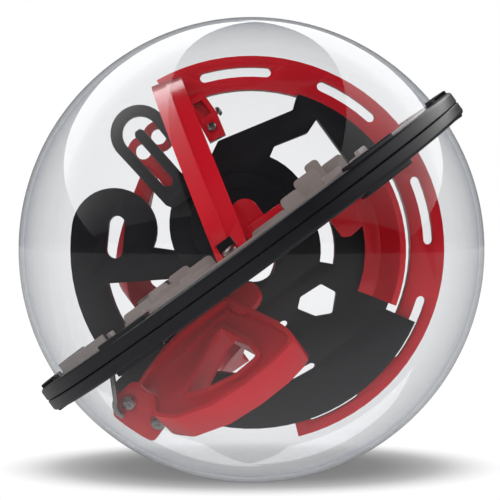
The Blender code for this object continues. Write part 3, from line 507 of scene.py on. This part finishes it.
# Screws -----------------------------------------------------------------------------------------
# Bright steel pan-head screws with a cross recess: six in the ring's wells, and one or two in
# the arch's foot, its bracket, the fork gate and the corner plate.
def steel(name, colour, roughness, scratch):
    """Steel with faint turning marks in its gloss."""
    finish = bpy.data.materials.new(name)
    finish.use_nodes = True
    nodes, links = finish.node_tree.nodes, finish.node_tree.links
    shader = nodes["Principled BSDF"]
    shader.inputs["Base Color"].default_value = (*colour, 1)
    shader.inputs["Metallic"].default_value = 1.0
    place = nodes.new("ShaderNodeTexCoord")
    marks = nodes.new("ShaderNodeTexNoise")
    marks.inputs["Scale"].default_value = 900
    marks.inputs["Detail"].default_value = 5
    links.new(place.outputs["Object"], marks.inputs["Vector"])
    gloss = nodes.new("ShaderNodeMapRange")
    gloss.inputs["To Min"].default_value = roughness * 0.7
    gloss.inputs["To Max"].default_value = roughness * 1.4
    links.new(marks.outputs["Fac"], gloss.inputs["Value"])
    links.new(gloss.outputs["Result"], shader.inputs["Roughness"])
    bump = nodes.new("ShaderNodeBump")
    bump.inputs["Strength"].default_value = scratch
    bump.inputs["Distance"].default_value = 0.00005
    links.new(marks.outputs["Fac"], bump.inputs["Height"])
    links.new(bump.outputs["Normal"], shader.inputs["Normal"])
    return finish


STEEL = steel("bright_steel", (0.62, 0.61, 0.59), 0.24, 0.15)


def screw_pattern():
    """A pan-head screw with a head of radius 1 and height 1, its underside at Z 0, pointing up."""
    profile = [(0, 1.0), (0.3, 0.985), (0.55, 0.93), (0.75, 0.82), (0.9, 0.62), (0.98, 0.36),
               (1.0, 0.12), (0.98, 0.0), (0.42, 0.0), (0.42, -1.6), (0, -1.6)]
    head = worked("screw_pattern", turned("screw_pattern", profile, 40, STEEL, closed=False))
    tools = []
    for turn in (0, math.pi / 2):
        bm = bmesh.new()
        bmesh.ops.create_cube(bm, size=1, matrix=Matrix.Rotation(turn, 4, "Z") @ Matrix.Translation(
            (0, 0, 0.9)) @ Matrix.Diagonal((1.02, 0.2, 0.8, 1)))
        mesh = bpy.data.meshes.new("recess")
        bm.to_mesh(mesh)
        bm.free()
        recess = worked("recess", mesh)
        sink = head.modifiers.new("recess", "BOOLEAN")
        sink.operation = "DIFFERENCE"
        sink.object = recess
        tools.append(recess)
    mesh = applied(head)
    for tool in tools:
        bpy.data.objects.remove(tool, do_unlink=True)
    return worked("screw_pattern", mesh)


def screw_spot(node, aim, head_high):
    """Place, turn and size of a screw whose head looks along aim, in the maze's frame."""
    points = solid_points(node)
    aim = Vector(aim)
    along = points @ np.array(aim)
    head = points[along > along.max() - head_high - 0.00005]
    spread = head - np.outer(head @ np.array(aim), np.array(aim))
    middle = (spread.min(0) + spread.max(0)) / 2
    radius = float(np.linalg.norm(spread - middle, axis=1).max())
    seat = Vector(middle) + aim * (along.max() - head_high)
    turn = aim.to_track_quat("Z", "Y").to_euler()
    return tuple(seat), tuple(turn), (radius, radius, head_high)


SMALL, LARGE = 0.0016, 0.0020    # how high the two sizes of head stand
screws = {node: ((0, 0, -1), SMALL) for node in SCREW_NODES}
screws |= {"bracket_screw_1": ((1, 0, 0), SMALL), "bracket_screw_2": ((0, -1, 0), SMALL),
           "arch_screw": ((0, 0, 1), LARGE), "fork_screw": ((0, -1, 0), LARGE),
           "corner_screw_1": ((0, -1, 0), LARGE), "corner_screw_2": ((0, -1, 0), LARGE)}
pattern = screw_pattern()
spots = [screw_spot(node, aim, high) for node, (aim, high) in screws.items()]
mesh = set_out("pan_screws", pattern, spots, STEEL)
bpy.data.objects.remove(pattern, do_unlink=True)
mesh.transform(MAZE)
settle("pan_screws", mesh, STEEL, list(screws))

# Corner strip -----------------------------------------------------------------------------------
# A thin strip of bright steel that hangs from the disc beside the corner plate.  Its lower end
# is bent into a hook round the plate's upper screw.
moulded("corner_strip", STEEL, 0.0003)

# Marble -----------------------------------------------------------------------------------------
# A 6.5 mm ball of polished steel.  It is loose, and it rolls along the fenced lane at the
# disc's rim.
low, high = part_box("marble")
bm = bmesh.new()
bmesh.ops.create_icosphere(bm, subdivisions=5, radius=(high.x - low.x) / 2,
                           matrix=Matrix.Translation((low + high) / 2))
mesh = bpy.data.meshes.new("steel_marble")
bm.to_mesh(mesh)
bm.free()
settle("steel_marble", mesh, steel("polished_steel", (0.78, 0.77, 0.76), 0.07, 0.03),
       ["marble"], body=lane["child"], crease=180)

# Studio -----------------------------------------------------------------------------------------
# A white table that runs up into a white background.  The table glows, so its soft grey shadow
# is a painted shadow: an oval in its own colour.  Two large panels lean over the globe from the
# left and the right and leave a dark strip between them.
TABLE_HALF = 6
TABLE_GLOW = 1.06
TABLE_GLOW_MIRRORED = 0.3
SHADOW_WIDE, SHADOW_DEEP, SHADOW_BACK = 0.106, 0.056, 0.022
SHADOW_LIFT = 0.6                # how far the shadow pales where it is seen through the globe
PANEL_REACH = 3.3                # a panel's length over its lit part
PANEL_SWELL = 1.6
ROOM_MIRRORED = 0.03             # the room's strength in reflections
ROOM_LIGHT = 0.4                 # and as a light
EYE_AWAY, EYE_ABOVE = 0.45, 0.0117
bm = bmesh.new()
bmesh.ops.create_grid(bm, x_segments=1, y_segments=1, size=TABLE_HALF)
mesh = bpy.data.meshes.new("table")
bm.to_mesh(mesh)
bm.free()
table = worked("table", mesh)
white = bpy.data.materials.new("white_table")
white.use_nodes = True
nodes, links = white.node_tree.nodes, white.node_tree.links
nodes.remove(nodes["Principled BSDF"])
sheet = nodes.new("ShaderNodeEmission")
place = nodes.new("ShaderNodeTexCoord")
oval = nodes.new("ShaderNodeMapping")
oval.inputs["Location"].default_value = (0, -SHADOW_BACK / SHADOW_DEEP, 0)
oval.inputs["Scale"].default_value = (1 / SHADOW_WIDE, 1 / SHADOW_DEEP, 1)
links.new(place.outputs["Object"], oval.inputs["Vector"])
spread = nodes.new("ShaderNodeVectorMath")
spread.operation = "LENGTH"
links.new(oval.outputs["Vector"], spread.inputs[0])
# Painted shadow: a grey oval in the table's glow, darkest just behind the globe's foot and white at
# its edge.
shadow = nodes.new("ShaderNodeValToRGB")
shadow.color_ramp.interpolation = "B_SPLINE"
shadow.color_ramp.elements[0].color = (0.17, 0.17, 0.175, 1)
shadow.color_ramp.elements[1].color = (1, 1, 1, 1)
for position, level in ((0.5, 0.2), (0.72, 0.42), (0.86, 0.8)):
    shadow.color_ramp.elements.new(position).color = (level, level, level * 1.01, 1)
links.new(spread.outputs["Value"], shadow.inputs["Fac"])
# Where the table is seen through the globe, the painted shadow is drawn paler.
seen = nodes.new("ShaderNodeLightPath")
inside = nodes.new("ShaderNodeMapRange")
inside.inputs["To Max"].default_value = SHADOW_LIFT
links.new(seen.outputs["Transparent Depth"], inside.inputs["Value"])
lift = nodes.new("ShaderNodeMixRGB")
lift.inputs["Color2"].default_value = (1, 1, 1, 1)
links.new(inside.outputs["Result"], lift.inputs["Fac"])
links.new(shadow.outputs["Color"], lift.inputs["Color1"])
links.new(lift.outputs["Color"], sheet.inputs["Color"])
level = nodes.new("ShaderNodeMapRange")
level.inputs["To Min"].default_value = TABLE_GLOW
level.inputs["To Max"].default_value = TABLE_GLOW_MIRRORED
links.new(seen.outputs["Is Glossy Ray"], level.inputs["Value"])
links.new(level.outputs["Result"], sheet.inputs["Strength"])
links.new(sheet.outputs["Emission"], nodes["Material Output"].inputs["Surface"])
mesh.materials.append(white)


def panel(name, near, far, top, low, high):
    """A leaning light panel that brightens from low to high between its foot and top.
    The corners are measured from the globe's centre, and the camera doesn't see the board."""
    near, far, top = (CENTRE + Vector(corner) for corner in (near, far, top))
    rise = PANEL_REACH * (top - near)
    mesh = bpy.data.meshes.new(name)
    mesh.from_pydata([near, far, far + rise, near + rise], [], [(0, 1, 2, 3)])
    glow = bpy.data.materials.new(name)
    glow.use_nodes = True
    nodes, links = glow.node_tree.nodes, glow.node_tree.links
    nodes.remove(nodes["Principled BSDF"])
    lamp = nodes.new("ShaderNodeEmission")
    place = nodes.new("ShaderNodeTexCoord")
    height = nodes.new("ShaderNodeSeparateXYZ")
    links.new(place.outputs["Object"], height.inputs["Vector"])
    climb = nodes.new("ShaderNodeMapRange")
    climb.inputs["From Min"].default_value = near.z
    climb.inputs["From Max"].default_value = top.z
    links.new(height.outputs["Z"], climb.inputs["Value"])
    swell = nodes.new("ShaderNodeMath")
    swell.operation = "POWER"
    swell.inputs[1].default_value = PANEL_SWELL
    links.new(climb.outputs["Result"], swell.inputs[0])
    power = nodes.new("ShaderNodeMapRange")
    power.inputs["To Min"].default_value = low
    power.inputs["To Max"].default_value = high
    links.new(swell.outputs["Value"], power.inputs["Value"])
    links.new(power.outputs["Result"], lamp.inputs["Strength"])
    links.new(lamp.outputs["Emission"], nodes["Material Output"].inputs["Surface"])
    mesh.materials.append(glow)
    board = worked(name, mesh)
    board.visible_camera = False


panel("left_panel", (-0.534, -1.026, 0.319), (-3.54, -0.68, 0.319), (-0.323, 0.807, 1.198),
      0.25, 2.6)
panel("right_panel", (0.571, -1.007, 0.317), (3.54, -0.68, 0.317), (0.368, 0.824, 1.11),
      0.25, 2.4)

# A soft light from the front, high on the left, that the domes don't mirror.
lamp = bpy.data.lights.new("front_fill", "AREA")
lamp.size, lamp.energy = 1.2, 14
fill = bpy.data.objects.new("front_fill", lamp)
bpy.context.scene.collection.objects.link(fill)
fill.location = CENTRE + Vector((-0.35, -1.6, 0.75))
fill.rotation_euler = (fill.location - CENTRE).to_track_quat("Z", "Y").to_euler()
fill.visible_glossy = False
fill.visible_camera = False

# The room is white to the camera, a dimmer light on the maze and nearly dark in reflections.
world = bpy.data.worlds.new("studio")
bpy.context.scene.world = world
world.use_nodes = True
nodes, links = world.node_tree.nodes, world.node_tree.links
back = nodes["Background"]
back.inputs["Color"].default_value = (1, 1, 1, 1)
seen = nodes.new("ShaderNodeLightPath")
level = nodes.new("ShaderNodeMapRange")
level.inputs["To Min"].default_value = ROOM_MIRRORED
level.inputs["To Max"].default_value = ROOM_LIGHT
links.new(seen.outputs["Is Diffuse Ray"], level.inputs["Value"])
shown = nodes.new("ShaderNodeMath")
shown.operation = "MAXIMUM"
links.new(level.outputs["Result"], shown.inputs[0])
links.new(seen.outputs["Is Camera Ray"], shown.inputs[1])
links.new(shown.outputs["Value"], back.inputs["Strength"])

eye = bpy.data.cameras.new("eye")
eye.sensor_width = 36
eye.angle = math.radians(24.56)
eye.shift_x = -0.003
camera = bpy.data.objects.new("eye", eye)
bpy.context.scene.collection.objects.link(camera)
camera.location = CENTRE + TILT @ Vector((0, -EYE_AWAY, EYE_ABOVE))
camera.rotation_euler = (CENTRE - camera.location).to_track_quat("-Z", "Y").to_euler()
bpy.context.scene.camera = camera
bpy.context.scene.view_settings.view_transform = "Standard"
